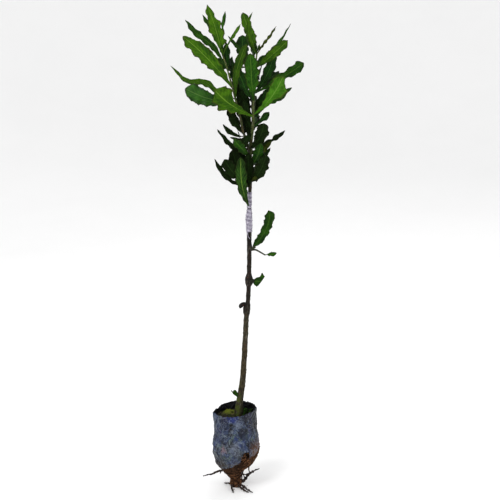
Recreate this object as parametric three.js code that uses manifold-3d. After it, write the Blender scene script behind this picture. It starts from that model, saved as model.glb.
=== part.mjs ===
// A grafted nursery sapling standing on its root ball. Millimetres, +Z up, +X right, +Y away from
// the front. The origin is the centre of the root ball's flat underside.
import * as THREE from "three";
import { mergeVertices } from "three/addons/utils/BufferGeometryUtils.js";
import Module from "manifold-3d";

const wasm = await Module();
wasm.setup();

// ---- Driving dimensions -------------------------------------------------------------------
const GAP = 0.3; // clearance between pieces that touch
const CRUMB = 0.04; // edges shorter than this are closed up
const SOIL_Z = 166; // level of the soil that the stem rises from
const FOOT_R = 10.5; // radius of the flat underside
const BALL_R = 52; // widest radius of the soil in the sleeve
const BALL_R_Z = 90; // and its height
const SLEEVE_WALL = 1.2; // wall of the plastic sleeve, thickened
const SLEEVE_TOP = 178; // mean height of its rim
const SLEEVE_FOOT = 48; // mean height of its torn lower edge
const FOOT_FLARE = 0.8; // how far that edge stands off the soil
const SOIL_SHRINK = 1.5; // how far the top of the soil has drawn in from the sleeve
const ROUND_SIDES = 20; // facets round the ball and the sleeve

const STEM_R = 8; // stem radius just above the soil
const STEM_TOP_Z = 957; // growing tip of the stem
const LIMB_SIDES = 8; // facets round the stem and the boughs
const TWIG_SIDES = 6;
const TWIG_STEPS = 4;
const ROOT_SIDES = 6;
const ROOT_STEPS = 5;
const FRAMES = 200; // places along a limb at which its cross directions are worked out

const LEAF_THICK = 2.6; // blade thickness at the midrib
const STALK_SHARE = 0.13; // width of the leaf stalk as a share of the leaf's
const BOW = 14; // degrees by which a leaf leaves its limb less steeply than it ends
const WAVE = 13; // degrees by which the blade rocks along its length
const FACE_RISE = 15; // degrees by which a turned upper surface looks up
const LEAF_STATIONS = [0, 0.14, 0.36, 0.58, 0.78, 0.94];
const COLLAR = 2.2; // how far the leaf bases stand out round the limb
const COLLAR_H = 7; // length of limb that a whorl of leaves clasps
const COLLAR_SIDES = 5;
const FRONT = -90; // azimuth of the plant's front

// ---- Solids -------------------------------------------------------------------------------
const rad = THREE.MathUtils.degToRad;
const at = (x, y, z) => new THREE.Vector3(x, y, z);

// The unit vector at an azimuth (0 is +X, 90 is +Y) and a rise above the level, in degrees.
function heading(azimuth, rise) {
  const level = Math.cos(rad(rise));
  return at(
    level * Math.cos(rad(azimuth)),
    level * Math.sin(rad(azimuth)),
    Math.sin(rad(rise)),
  );
}

function solidOf(geometry) {
  const bare = new THREE.BufferGeometry();
  bare.setAttribute("position", geometry.getAttribute("position"));
  bare.setIndex(geometry.index);
  const { index, attributes } = mergeVertices(bare, 1e-4);
  const triVerts = new Uint32Array(index.array);
  return new wasm.Manifold(
    new wasm.Mesh({ numProp: 3, vertProperties: attributes.position.array, triVerts }),
  );
}

// The faceted geometry of a solid. Vertices that a cut left closer than CRUMB become one.
function geometryOf(solid) {
  const { vertProperties, triVerts } = solid.getMesh();
  const geometry = new THREE.BufferGeometry();
  geometry.setAttribute("position", new THREE.BufferAttribute(vertProperties, 3));
  geometry.setIndex(new THREE.BufferAttribute(triVerts, 1));
  const { index, attributes } = mergeVertices(geometry, CRUMB);
  const faces = [];
  for (let first = 0; first < index.count; first += 3) {
    const corners = [0, 1, 2].map((corner) => index.getX(first + corner));
    if (new Set(corners).size === 3) faces.push(...corners);
  }
  const clean = new THREE.BufferGeometry();
  clean.setAttribute("position", attributes.position);
  clean.setIndex(faces);
  const faceted = clean.toNonIndexed();
  faceted.computeVertexNormals();
  return faceted;
}

const joined = (solids) => solids.reduce((all, one) => all.add(one));
const without = (solid, cutters) => cutters.reduce((left, one) => left.subtract(one), solid);

function largest(solid) {
  const bodies = solid.decompose();
  bodies.sort((a, b) => b.volume() - a.volume());
  return bodies[0];
}

// A closed skin over rings of equal count, closed at each end round a point. Where it is mirrored,
// every other strip is split the other way, so that the two faces of a thin blade never cross.
function loft(rings, start, end, mirrored = false) {
  const sides = rings[0].length;
  const points = [...rings.flat(), start, end];
  const first = rings.length * sides;
  const last = first + 1;
  const faces = [];
  for (let side = 0; side < sides; side++) {
    const next = (side + 1) % sides;
    faces.push(first, next, side);
    for (let ring = 0; ring < rings.length - 1; ring++) {
      const low = ring * sides;
      const high = low + sides;
      const [left, right] = mirrored && side % 2 ? [next, side] : [side, next];
      faces.push(low + side, low + next, high + right, high + next, high + side, low + left);
    }
    const top = (rings.length - 1) * sides;
    faces.push(last, top + side, top + next);
  }
  const geometry = new THREE.BufferGeometry().setFromPoints(points);
  geometry.setIndex(faces);
  return solidOf(geometry);
}

// Reads a table of [place, value] rows, with a straight line between rows.
function reading(table, place) {
  const above = table.findIndex(([row]) => row >= place);
  if (above === 0) return table[0][1];
  if (above < 0) return table.at(-1)[1];
  const [p0, v0] = table[above - 1];
  const [p1, v1] = table[above];
  return v0 + ((v1 - v0) * (place - p0)) / (p1 - p0);
}

// ---- Limbs --------------------------------------------------------------------------------
// A limb is a smooth path and a radius for each share of its length.
function limb(points, radii, steps) {
  const path = new THREE.CatmullRomCurve3(points, false, "centripetal");
  return { path, radii, steps };
}

// The solid of a limb between two shares of its length, grown all round by `grow`.
function limbSolid({ path, radii, steps }, grow = 0, from = 0, to = 1, sides = LIMB_SIDES) {
  const shares = Array.from({ length: steps + 1 }, (_, i) => from + ((to - from) * i) / steps);
  const centres = shares.map((share) => path.getPointAt(share));
  const frames = path.computeFrenetFrames(FRAMES);
  const rings = shares.map((share, i) => {
    const frame = Math.round(share * FRAMES);
    const radius = reading(radii, share) + grow;
    return Array.from({ length: sides }, (_, side) => {
      const turn = (2 * Math.PI * side) / sides;
      return centres[i]
        .clone()
        .addScaledVector(frames.normals[frame], radius * Math.cos(turn))
        .addScaledVector(frames.binormals[frame], radius * Math.sin(turn));
    });
  });
  const along = (i, by) => centres[i].clone().addScaledVector(path.getTangentAt(shares[i]), by);
  return loft(rings, along(0, -grow), along(steps, grow));
}

// The share of a rising limb's length at which it reaches a height.
function shareAt({ path }, height) {
  let low = 0;
  let high = 1;
  for (let halving = 0; halving < 30; halving++) {
    const middle = (low + high) / 2;
    if (path.getPointAt(middle).z < height) low = middle;
    else high = middle;
  }
  return low;
}

// ---- Leaves -------------------------------------------------------------------------------
// Half width of a blade along its length: a narrow stalk, widest past the middle, a blunt tip.
function outline(share) {
  return Math.max(STALK_SHARE, Math.sin(Math.PI * share ** 1.6) ** 0.8);
}

// One leaf from its base. Its upper side looks at the azimuth `face`, or up where none is given.
// A leaf that was cut across ends at that share of its length. A blade is grown by twice `grow`,
// because the clearance dwindles towards its thin margins.
function leaf(base, [azimuth, rise, length, width, face, bow = BOW], grow = 0, cut = 1) {
  const tip = base.clone().addScaledVector(heading(azimuth, rise), length + 2 * grow);
  const bend = base.clone().addScaledVector(heading(azimuth, rise - bow), length * 0.5);
  const rib = new THREE.QuadraticBezierCurve3(base, bend, tip);
  const looks = face === undefined ? at(0, 0, 1) : heading(face, FACE_RISE);
  const stations = LEAF_STATIONS.filter((share) => share < cut);
  const rings = stations.map((share, i) => {
    const centre = rib.getPoint(share);
    const along = rib.getTangent(share);
    const upper = looks.clone().addScaledVector(along, -looks.dot(along)).normalize();
    const rock = rad(i % 2 ? WAVE : -WAVE) * outline(share);
    upper.applyAxisAngle(along, rock);
    const across = upper.clone().cross(along);
    const half = (width / 2) * outline(share) + 2 * grow;
    const thick = LEAF_THICK / 2 + 2 * grow;
    return [
      centre.clone().addScaledVector(across, half),
      centre.clone().addScaledVector(upper, thick),
      centre.clone().addScaledVector(across, -half),
      centre.clone().addScaledVector(upper, -thick),
    ];
  });
  const end = cut < 1 ? rib.getPoint(stations.at(-1)) : tip;
  return loft(rings, base, end, true);
}

// ---- Root ball and sleeve -------------------------------------------------------------------
// Soil radius by height: a narrow plug of roots, a cone, then the filled sleeve.
const BALL_PROFILE = [
  [0, FOOT_R],
  [3, FOOT_R + 1],
  [18, FOOT_R + 1.5],
  [27, 0.37 * BALL_R],
  [37, 0.56 * BALL_R],
  [60, 0.86 * BALL_R],
  [75, 0.96 * BALL_R],
  [BALL_R_Z, BALL_R],
  [110, 0.97 * BALL_R],
  [140, 0.91 * BALL_R],
  [SOIL_Z, 0.885 * BALL_R],
  [SLEEVE_TOP + 10, 0.88 * BALL_R],
];

// How far the ball's middle stands to the right of its foot, by height.
const BALL_LEAN = [[20, 0], [80, 1.5], [120, 0], [SLEEVE_TOP, -1.2]];

// How far the ball and the sleeve stand out of round: loose folds, and a hollow low on the right.
function uneven(turn, height) {
  const folds = 1.1 * Math.cos(3 * turn + height / 26) + 0.7 * Math.cos(5 * turn - height / 19);
  const fade = THREE.MathUtils.smoothstep(height, 18, 40);
  const hollow = 12 * Math.exp(-(((height - 34) / 11) ** 2)) * Math.max(0, Math.cos(turn));
  const lean = reading(BALL_LEAN, height) * Math.cos(turn);
  return lean + fade * folds - THREE.MathUtils.smoothstep(height, 14, 24) * hollow;
}

const ballRadius = (turn, height) =>
  reading(BALL_PROFILE.map(([row, radius]) => [row, radius + uneven(turn, row)]), height);
const onRing = (turn, radius, height) => at(radius * Math.cos(turn), radius * Math.sin(turn), height);

function ring(heightAt, grow) {
  return Array.from({ length: ROUND_SIDES }, (_, side) => {
    const turn = (2 * Math.PI * side) / ROUND_SIDES;
    const height = heightAt(turn);
    return onRing(turn, ballRadius(turn, height) + grow, height);
  });
}

function rootBall(grow = 0) {
  const heights = BALL_PROFILE.map(([height]) => height).filter((height) => height <= SOIL_Z);
  const shrink = (height) => (height === SOIL_Z ? SOIL_SHRINK : 0);
  const rings = heights.map((height) => ring(() => height, grow - shrink(height)));
  rings[0].forEach((point) => (point.z -= grow));
  rings.at(-1).forEach((point) => (point.z += grow));
  return loft(rings, at(0, 0, -grow), at(0, 0, SOIL_Z + grow));
}

// The sleeve is open above and below; its rim dips on the left and its foot is torn on the right.
const rimHeight = (turn) =>
  SLEEVE_TOP + 5 * Math.cos(turn) + 1.5 * Math.sin(turn) + 1.3 * Math.cos(3 * turn + 1);
const footHeight = (turn) => SLEEVE_FOOT + 6 * Math.cos(turn) + 2.5 * Math.cos(4 * turn + 0.6);

function sleeveSolid() {
  const rows = BALL_PROFILE.map(([height]) => height);
  const between = rows.filter((height) => height > SLEEVE_FOOT + 9 && height < SLEEVE_TOP - 12);
  const levels = [footHeight, ...between.map((height) => () => height), rimHeight];
  const gap = (level) => GAP + (level === footHeight ? FOOT_FLARE : 0);
  const outer = levels.map((level) => ring(level, gap(level) + SLEEVE_WALL));
  const inner = levels.map((level) => ring(level, gap(level))).reverse();
  const walls = [...outer, ...inner];
  const faces = [];
  walls.forEach((_, wall) => {
    const low = wall * ROUND_SIDES;
    const high = ((wall + 1) % walls.length) * ROUND_SIDES;
    const inside = wall >= levels.length; // its quads are split as the soil's are
    for (let side = 0; side < ROUND_SIDES; side++) {
      const next = (side + 1) % ROUND_SIDES;
      const [left, right] = inside ? [next, side] : [side, next];
      faces.push(low + side, low + next, high + right, high + next, high + side, low + left);
    }
  });
  const geometry = new THREE.BufferGeometry().setFromPoints(walls.flat());
  geometry.setIndex(faces);
  return solidOf(geometry);
}

// Stray roots: each path starts inside the ball and is cut off where it leaves it.
const ROOTS = {
  root_left: [[-24, -4, 37], [-41, -8, 35], [-57, -11, 30], [-72, -13, 26]],
  root_lower_left: [[-4, 2, 4], [-15, 5, 4], [-26, 11, 2]],
  root_front: [[-5, -5, 5], [-8, -14, 5], [-7, -28, 2.5], [-4, -44, 2]],
  root_front_right: [[5, -4, 6], [15, -12, 6], [26, -26, 2.5], [38, -43, 2]],
  root_front_centre: [[2, -6, 4], [10, -16, 3], [19, -30, 2], [29, -43, 2]],
  root_right: [[4, 2, 8], [23, 4, 14], [31, 5, 24], [42, 7, 33], [54, 9, 38]],
};
const ROOT_RADII = [[0, 1.9], [0.5, 1.6], [1, 1]];
const ROOTLETS = {
  rootlet_right: [[28, 2, 54], [30.5, 3, 42], [31.5, 4, 26]],
  rootlet_inner: [[12, 0, 44], [13.5, 1, 32], [14.5, 2.5, 14]],
};
const ROOTLET_RADII = [[0, 1.1], [1, 0.9]];

// ---- Stem and boughs ------------------------------------------------------------------------
// The stem leans to the right from the soil, runs up through the foliage and ends in its tip.
const STEM = limb(
  [
    at(8, 2, SOIL_Z - 6),
    at(8.4, 2, 182),
    at(11, 2, 205),
    at(16.5, 1, 246),
    at(22.2, 0, 337),
    at(25.6, 0, 390),
    at(29.2, 1, 430),
    at(30.5, 0, 505),
    at(30.5, -1, 560),
    at(31.6, 0, 646),
    at(34, 1, 700),
    at(34, 2, 750),
    at(39.5, 1, 817),
    at(41, 0, 873),
    at(43.5, 0, 921),
    at(47.4, 0, STEM_TOP_Z),
  ],
  [
    [0, 1.3 * STEM_R],
    [0.02, 1.05 * STEM_R],
    [0.06, 0.93 * STEM_R],
    [0.11, 0.83 * STEM_R],
    [0.22, 0.74 * STEM_R],
    [0.29, 0.69 * STEM_R],
    [0.3, 0.86 * STEM_R],
    [0.315, 0.82 * STEM_R],
    [0.33, 0.59 * STEM_R],
    [0.372, 0.6 * STEM_R],
    [0.382, 1.0 * STEM_R],
    [0.396, 0.9 * STEM_R],
    [0.41, 0.58 * STEM_R],
    [0.5, 0.56 * STEM_R],
    [0.53, 0.66 * STEM_R],
    [0.57, 0.56 * STEM_R],
    [0.6, 0.5 * STEM_R],
    [0.74, 0.42 * STEM_R],
    [0.88, 0.32 * STEM_R],
    [1, 0.2 * STEM_R],
  ],
  42,
);

const LEFT_BOUGH = limb(
  [
    at(33, 1, 738),
    at(25, -2, 772),
    at(17.4, -4, 795),
    at(12.6, -5, 819),
    at(5, -5, 848),
    at(-5.3, -4, 888),
    at(-17.7, -1, 931),
    at(-26, 0, 955),
  ],
  [[0, 2.8], [1, 1.6]],
  9,
);

const BACK_BOUGH = limb(
  [at(37, 2, 785), at(38, 17, 815), at(37, 30, 855), at(31, 40, 900), at(26, 45, 930)],
  [[0, 2.5], [1, 1.5]],
  7,
);

// Short growths on the stem. Each limb starts inside the stem and is cut off at its bark.
// Each is a path, its radius at the stem, its radius at the end, and its look.
const TWIGS = {
  hooked_stub: [[[26, 0, 420], [14, -2, 420], [9, -3, 414], [12, -3, 407], [18, -3, 405]], 2, 1.4, "bark"],
  cut_leaf_stalk: [[[31, 0, 464], [38, -4, 469], [43, -6, 470]], 3, 2, "bark"],
  side_twig: [[[31, 0, 541], [37, -2, 545], [41, -3, 546]], 2.8, 2.3, "bark"],
  drooping_twig: [[[31, 0, 533], [45, 4, 541], [57, 5, 535], [66, 5, 528]], 1.3, 1, "green_shoot"],
  basal_sprout: [[[9, 2, 206], [1, 0, 213], [-5, -1, 217], [-9, -2, 222]], 1.1, 0.8, "green_shoot"],
};
// Single leaves: each one's base, the leaf, and the share it was cut off at.
const SINGLE_LEAVES = {
  cut_leaf: [[43, -6, 470], [-15, 32, 48, 15, FRONT, 0], 0.6],
  side_leaf: [[41, -3, 546], [-15, 65, 88, 21, FRONT, 16]],
  drooping_leaf: [[66, 5, 528], [0, 8, 24, 7, FRONT, 20]],
  basal_leaf: [[5, -3, 208], [-130, 55, 18, 7, FRONT, 0]],
};

// ---- Foliage --------------------------------------------------------------------------------
// Each mass is a whorl on a limb at a height, with its shade of green. A leaf is
// [azimuth, rise, length, width, face, bow]: where it points and how steeply, its size, the side
// its upper surface is turned to, and how much steeper it ends than it begins.
const FOLIAGE = {
  crown_tip_foliage: [STEM, 953, "leaf_bright", [
    [126, 60, 102, 22, FRONT, 4],
    [-118, 70, 90, 8, FRONT, 4],
    [-47, 44, 80, 10, 180, -6],
    [108, 42, 85, 20],
  ]],
  upper_right_foliage: [STEM, 925, "leaf_bright", [
    [19, 49, 122, 13, -60],
    [-34, 34, 100, 24, FRONT, 2],
    [137, 40, 105, 9, FRONT, 0],
  ]],
  right_foliage: [STEM, 872, "leaf_mid", [
    [7, 32, 126, 25, -60, 4],
    [56, 47, 116, 30, FRONT],
  ]],
  centre_foliage: [STEM, 855, "leaf_bright", [
    [-99, 66, 118, 26, FRONT],
    [-127, 73, 125, 20, FRONT],
    [128, 52, 100, 24],
  ]],
  left_front_foliage: [STEM, 823, "leaf_bright", [
    [-146, 35, 111, 34, FRONT],
    [126, 28, 95, 24],
  ]],
  front_right_foliage: [STEM, 815, "leaf_bright", [
    [-43, 44, 124, 34, FRONT],
    [16, 37, 110, 12, -60, 0],
    [34, 14, 50, 12, FRONT, 16],
  ]],
  centre_low_foliage: [STEM, 790, "leaf_dark", [
    [160, 68, 98, 28, FRONT],
    [-136, -42, 48, 20, FRONT, -10],
    [70, 30, 90, 24],
  ]],
  mid_right_foliage: [STEM, 757, "leaf_dark", [
    [-66, 45, 93, 32, FRONT],
    [12, 27, 86, 12, -60],
  ]],
  mid_left_foliage: [STEM, 738, "leaf_dark", [
    [-166, 40, 85, 17, -60, 20],
    [-109, 34, 90, 20],
    [115, 38, 85, 22],
  ]],
  low_upper_foliage: [STEM, 717, "leaf_dark", [
    [-72, 38, 92, 26],
    [34, 36, 66, 13, FRONT],
  ]],
  low_right_foliage: [STEM, 692, "leaf_dark", [
    [-58, 41, 84, 30, FRONT, 32],
    [60, 38, 85, 22],
  ]],
  low_left_foliage: [STEM, 674, "leaf_dark", [
    [167, 37, 98, 15, FRONT, 26],
    [-137, 48, 99, 24, FRONT],
    [-150, 64, 98, 26, FRONT],
    [112, 40, 90, 22],
  ]],
  low_front_foliage: [STEM, 631, "leaf_mid", [
    [-120, 72, 114, 24, FRONT, 28],
  ]],
  left_top_foliage: [LEFT_BOUGH, 952, "leaf_bright", [
    [-139, 68, 110, 27, FRONT, -2],
    [86, 64, 101, 9, FRONT, 4],
    [-50, 46, 85, 9, 180, -4],
  ]],
  left_upper_foliage: [LEFT_BOUGH, 935, "leaf_mid", [
    [173, 46, 124, 12, FRONT, -2],
    [131, 54, 126, 11, FRONT, 2],
  ]],
  left_mid_foliage: [LEFT_BOUGH, 884, "leaf_bright", [
    [-167, 46, 148, 32, FRONT, -3],
    [97, 53, 100, 24],
  ]],
  left_low_foliage: [LEFT_BOUGH, 850, "leaf_mid", [
    [172, 28, 162, 15, FRONT, 2],
    [-164, 17, 120, 34, FRONT, 19],
  ]],
  bough_foot_foliage: [LEFT_BOUGH, 783, "leaf_dark", [
    [153, 26, 56, 13, FRONT, 22],
    [-160, 22, 38, 9, FRONT],
    [178, 60, 74, 22, FRONT, 14],
    [95, 30, 75, 20],
  ]],
  back_top_foliage: [BACK_BOUGH, 927, "leaf_mid", [
    [92, 50, 95, 26],
    [140, 30, 90, 24],
    [35, 25, 80, 24],
  ]],
  back_mid_foliage: [BACK_BOUGH, 884, "leaf_dark", [
    [60, 24, 100, 26],
    [114, 23, 110, 25],
  ]],
  back_low_foliage: [BACK_BOUGH, 838, "leaf_dark", [
    [85, 15, 105, 28],
    [150, 42, 85, 28, FRONT],
    [35, 42, 90, 26, FRONT],
  ]],
};

// A mass of leaves clasping its limb, cut clear of the limbs and of the masses made before it.
function foliage([carrier, height, , leaves], grow = 0) {
  const middle = shareAt(carrier, height);
  const reach = (COLLAR_H / 2 + grow) / carrier.path.getLength();
  const top = Math.min(1, middle + reach);
  const clasp = { ...carrier, steps: 1 };
  const collar = limbSolid(clasp, COLLAR + grow, middle - reach, top, COLLAR_SIDES);
  const base = carrier.path.getPointAt(middle);
  return joined([collar, ...leaves.map((one) => leaf(base, one, grow))]);
}

// ---- Assembly -------------------------------------------------------------------------------
const plain = (color, roughness) => new THREE.MeshStandardMaterial({ color, roughness, metalness: 0 });
const LOOKS = {
  bark: plain(0x4a3f30, 0.85),
  green_shoot: plain(0x5a6b30, 0.6),
  leaf_bright: plain(0x4f7f1c, 0.4),
  leaf_mid: plain(0x2f5f14, 0.4),
  leaf_dark: plain(0x16300f, 0.45),
  tape: plain(0xa9a3b4, 0.5),
  plastic: plain(0x3a445c, 0.45),
  soil: plain(0x4a3322, 0.95),
  root: plain(0x3b2a20, 0.9),
};

const sapling = new THREE.Group();
sapling.name = "sapling_on_root_ball";

function place(name, solid, look) {
  const mesh = new THREE.Mesh(geometryOf(solid), LOOKS[look]);
  mesh.name = name;
  sapling.add(mesh);
}

place("root_ball", rootBall(), "soil");

const grownBall = rootBall(GAP);
place("sleeve", sleeveSolid(), "plastic");
const grownStem = limbSolid(STEM, GAP);
const stem = without(limbSolid(STEM), [grownBall]);
place("stem", stem, "bark");

const grownRoots = [];
function placeRoots(paths, radii) {
  for (const [name, points] of Object.entries(paths)) {
    const root = limb(points.map((point) => at(...point)), radii, ROOT_STEPS);
    const clear = without(limbSolid(root, 0, 0, 1, ROOT_SIDES), [grownBall, ...grownRoots]);
    place(name, largest(clear), "root");
    grownRoots.push(limbSolid(root, GAP, 0, 1, ROOT_SIDES));
  }
}
placeRoots(ROOTS, ROOT_RADII);
placeRoots(ROOTLETS, ROOTLET_RADII);

place("left_bough", largest(without(limbSolid(LEFT_BOUGH), [grownStem])), "bark");
place("back_bough", largest(without(limbSolid(BACK_BOUGH), [grownStem])), "bark");

const limbs = [grownStem, limbSolid(LEFT_BOUGH, GAP), limbSolid(BACK_BOUGH, GAP)];

// A wrap of grafting tape: a close sleeve round the stem between two heights.
const TAPES = {
  graft_tape_lower: [577, 626, 1.8],
  graft_tape_upper: [636, 661, 1],
};
function wrap([from, to, thick], grow = 0) {
  const [low, high] = [from - grow, to + grow].map((height) => shareAt(STEM, height));
  return limbSolid({ ...STEM, steps: 2 }, thick + GAP + grow, low, high);
}
for (const [name, tape] of Object.entries(TAPES)) {
  place(name, without(wrap(tape), [grownStem]), "tape");
  limbs.push(wrap(tape, GAP));
}

const grownTwigs = [];
for (const [name, [points, thick, thin, look]] of Object.entries(TWIGS)) {
  const twig = limb(points.map((point) => at(...point)), [[0, thick], [1, thin]], TWIG_STEPS);
  place(name, largest(without(limbSolid(twig, 0, 0, 1, TWIG_SIDES), [grownStem])), look);
  grownTwigs.push(limbSolid(twig, GAP, 0, 1, TWIG_SIDES));
}
for (const [name, [base, blade, cut]] of Object.entries(SINGLE_LEAVES)) {
  const clear = without(leaf(at(...base), blade, 0, cut), [grownStem, ...grownTwigs]);
  place(name, largest(clear), "leaf_mid");
}

const grownMasses = [];
for (const [name, mass] of Object.entries(FOLIAGE)) {
  const cut = without(foliage(mass), [...limbs, ...grownMasses]);
  place(name, largest(cut), mass[2]);
  grownMasses.push(foliage(mass, GAP));
}

export default sapling;
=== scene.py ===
"""The looks of a grafted nursery sapling that stands on its root ball in a torn plastic sleeve.

Shapes are worked out in millimetres, +Z up, +X right, -Y towards the camera, and become metres in
build(). The limbs, leaves and roots follow the same named sizes as the CAD solids they replace.
"""
import math
import random

import bpy
import numpy as np
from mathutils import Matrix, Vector


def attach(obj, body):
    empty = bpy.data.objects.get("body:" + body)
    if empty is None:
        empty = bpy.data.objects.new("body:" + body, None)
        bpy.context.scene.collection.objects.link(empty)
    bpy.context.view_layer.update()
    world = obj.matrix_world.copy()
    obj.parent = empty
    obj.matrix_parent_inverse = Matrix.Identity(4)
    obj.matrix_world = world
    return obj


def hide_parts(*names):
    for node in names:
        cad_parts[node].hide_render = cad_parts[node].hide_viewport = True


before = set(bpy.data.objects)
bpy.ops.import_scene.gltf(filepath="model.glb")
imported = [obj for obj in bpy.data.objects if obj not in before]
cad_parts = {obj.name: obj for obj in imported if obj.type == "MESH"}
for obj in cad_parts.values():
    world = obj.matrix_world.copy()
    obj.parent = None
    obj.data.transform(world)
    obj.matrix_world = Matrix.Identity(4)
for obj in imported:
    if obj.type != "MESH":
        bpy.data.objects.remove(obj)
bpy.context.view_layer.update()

MM = 0.001

# ---- Camera and light ----
CAMERA_AT = (0.0327, -2.2, 0.9014)
CAMERA_DOWN = 9.4  # degrees that it looks down
LENS_MM = 74.2
SENSOR_MM = 36
WORLD_LIGHT = 0.88

# ---- Driving dimensions, mm ----
SOIL_Z = 166
FOOT_R = 10.5
BALL_R = 52
BALL_R_Z = 90
SLEEVE_TOP = 178
FILM_OFF = 0.9  # from the soil to the outer face of the film
FILM = 0.35  # thickness of the film
STEM_R = 8
FRONT = -90  # azimuth of the plant's front
BOW = 14
FACE_RISE = 15
BLADE = 0.55  # thickness of a leaf blade
THICKEST = 2.4  # thickness of a leaf where its midrib meets its stalk
STALK_R = 1.15  # half width of a leaf stalk

STEM_POINTS = [
    (8, 2, SOIL_Z - 6), (8.4, 2, 182), (11, 2, 205), (16.5, 1, 246), (22.2, 0, 337), (24.8, 0, 390),
    (28.6, 1, 430), (31, 0, 505), (31, -1, 560), (31.6, 0, 646), (34, 1, 700), (34, 2, 750),
    (39.5, 1, 817), (41, 0, 873), (43.5, 0, 921), (47.4, 0, 957),
]
STEM_RADII = [
    (0, 1.3), (0.02, 1.05), (0.06, 0.93), (0.11, 0.83), (0.22, 0.74), (0.29, 0.69), (0.3, 0.94),
    (0.315, 0.9), (0.33, 0.6), (0.372, 0.62), (0.382, 1.0), (0.396, 0.92), (0.41, 0.62), (0.5, 0.6),
    (0.53, 0.68), (0.57, 0.58), (0.6, 0.52), (0.74, 0.42), (0.88, 0.32), (1, 0.2),
]
LEFT_POINTS = [
    (33, 1, 738), (25, -2, 772), (17.4, -4, 795), (12.6, -5, 819), (5, -5, 848), (-5.3, -4, 888),
    (-17.7, -1, 931), (-26, 0, 955),
]
BACK_POINTS = [(37, 2, 785), (38, 17, 815), (37, 30, 855), (31, 40, 900), (26, 45, 930)]


# ---- Paths ----
def smooth_path(points, per_span=40):
    """A centripetal Catmull-Rom curve through the points, as many places along each span."""
    p = np.array(points, float)
    p = np.vstack([2 * p[0] - p[1], p, 2 * p[-1] - p[-2]])
    out = []
    for a, b, c, d in zip(p, p[1:], p[2:], p[3:]):
        d0, d1, d2 = (max(np.sum((x - y) ** 2) ** 0.25, 1e-6) for x, y in ((a, b), (b, c), (c, d)))
        m1 = ((b - a) / d0 - (c - a) / (d0 + d1) + (c - b) / d1) * d1
        m2 = ((c - b) / d1 - (d - b) / (d1 + d2) + (d - c) / d2) * d1
        t = np.linspace(0, 1, per_span, endpoint=False)[:, None]
        out.append(
            b + m1 * t + (-3 * b + 3 * c - 2 * m1 - m2) * t**2 + (2 * b - 2 * c + m1 + m2) * t**3
        )
    out.append(p[-2][None])
    return np.vstack(out)


class Limb:
    """A smooth path with a radius for each share of its length."""

    def __init__(self, points, radii):
        self.line = smooth_path(points)
        steps = np.linalg.norm(np.diff(self.line, axis=0), axis=1)
        self.run = np.concatenate([[0], np.cumsum(steps)])
        self.length = self.run[-1]
        self.shares, self.radii = np.array(radii, float).T

    def at(self, share):
        run = np.asarray(share, float) * self.length
        return np.stack([np.interp(run, self.run, self.line[:, k]) for k in range(3)], -1)

    def radius(self, share):
        return np.interp(share, self.shares, self.radii)

    def share_at(self, height):
        return float(np.interp(height, self.line[:, 2], self.run)) / self.length


STEM = Limb(STEM_POINTS, [(share, r * STEM_R) for share, r in STEM_RADII])
LEFT_BOUGH = Limb(LEFT_POINTS, [(0, 2.8), (1, 1.6)])
BACK_BOUGH = Limb(BACK_POINTS, [(0, 2.5), (1, 1.5)])


def unit(v):
    return v / np.maximum(np.linalg.norm(v, axis=-1, keepdims=True), 1e-9)


def heading(azimuth, rise):
    a, r = math.radians(azimuth), math.radians(rise)
    return np.array([math.cos(r) * math.cos(a), math.cos(r) * math.sin(a), math.sin(r)])


def frames_along(line):
    """Two cross directions at each place of a line, carried along it without twist."""
    along = unit(np.gradient(line, axis=0))
    side = np.cross(along[0], (0, 1, 0) if abs(along[0][1]) < 0.9 else (1, 0, 0))
    sides = []
    for t in along:
        side = side - np.dot(side, t) * t
        side = side / np.linalg.norm(side)
        sides.append(side)
    sides = np.array(sides)
    return sides, np.cross(along, sides)


# ---- Smooth seeded unevenness ----
class Noise:
    """Sums of seeded sine waves: a smooth, repeatable unevenness of about -1 to 1."""

    def __init__(self, seed, scale, waves=14, spread=0.6):
        rng = np.random.default_rng(seed)
        sizes = rng.uniform(1 - spread, 1 + spread, (waves, 1))
        self.k = unit(rng.normal(size=(waves, 3))) * sizes * 2 * math.pi / scale
        self.phase = rng.uniform(0, 2 * math.pi, waves)
        self.gain = 1 / math.sqrt(waves / 2)

    def __call__(self, points):
        return np.sin(np.asarray(points) @ self.k.T + self.phase).sum(-1) * self.gain * 0.6


def creases(noise, points):
    """Sharp valleys between soft ridges, 0 to 1."""
    return 1 - np.abs(np.clip(noise(points), -1, 1))


def bell(x, middle, reach):
    """1 where x is at the middle, fading to about a third at that reach."""
    return np.exp(-(((x - middle) / reach) ** 2))


def round_turn(count):
    return np.linspace(0, 2 * math.pi, count, endpoint=False)


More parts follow.
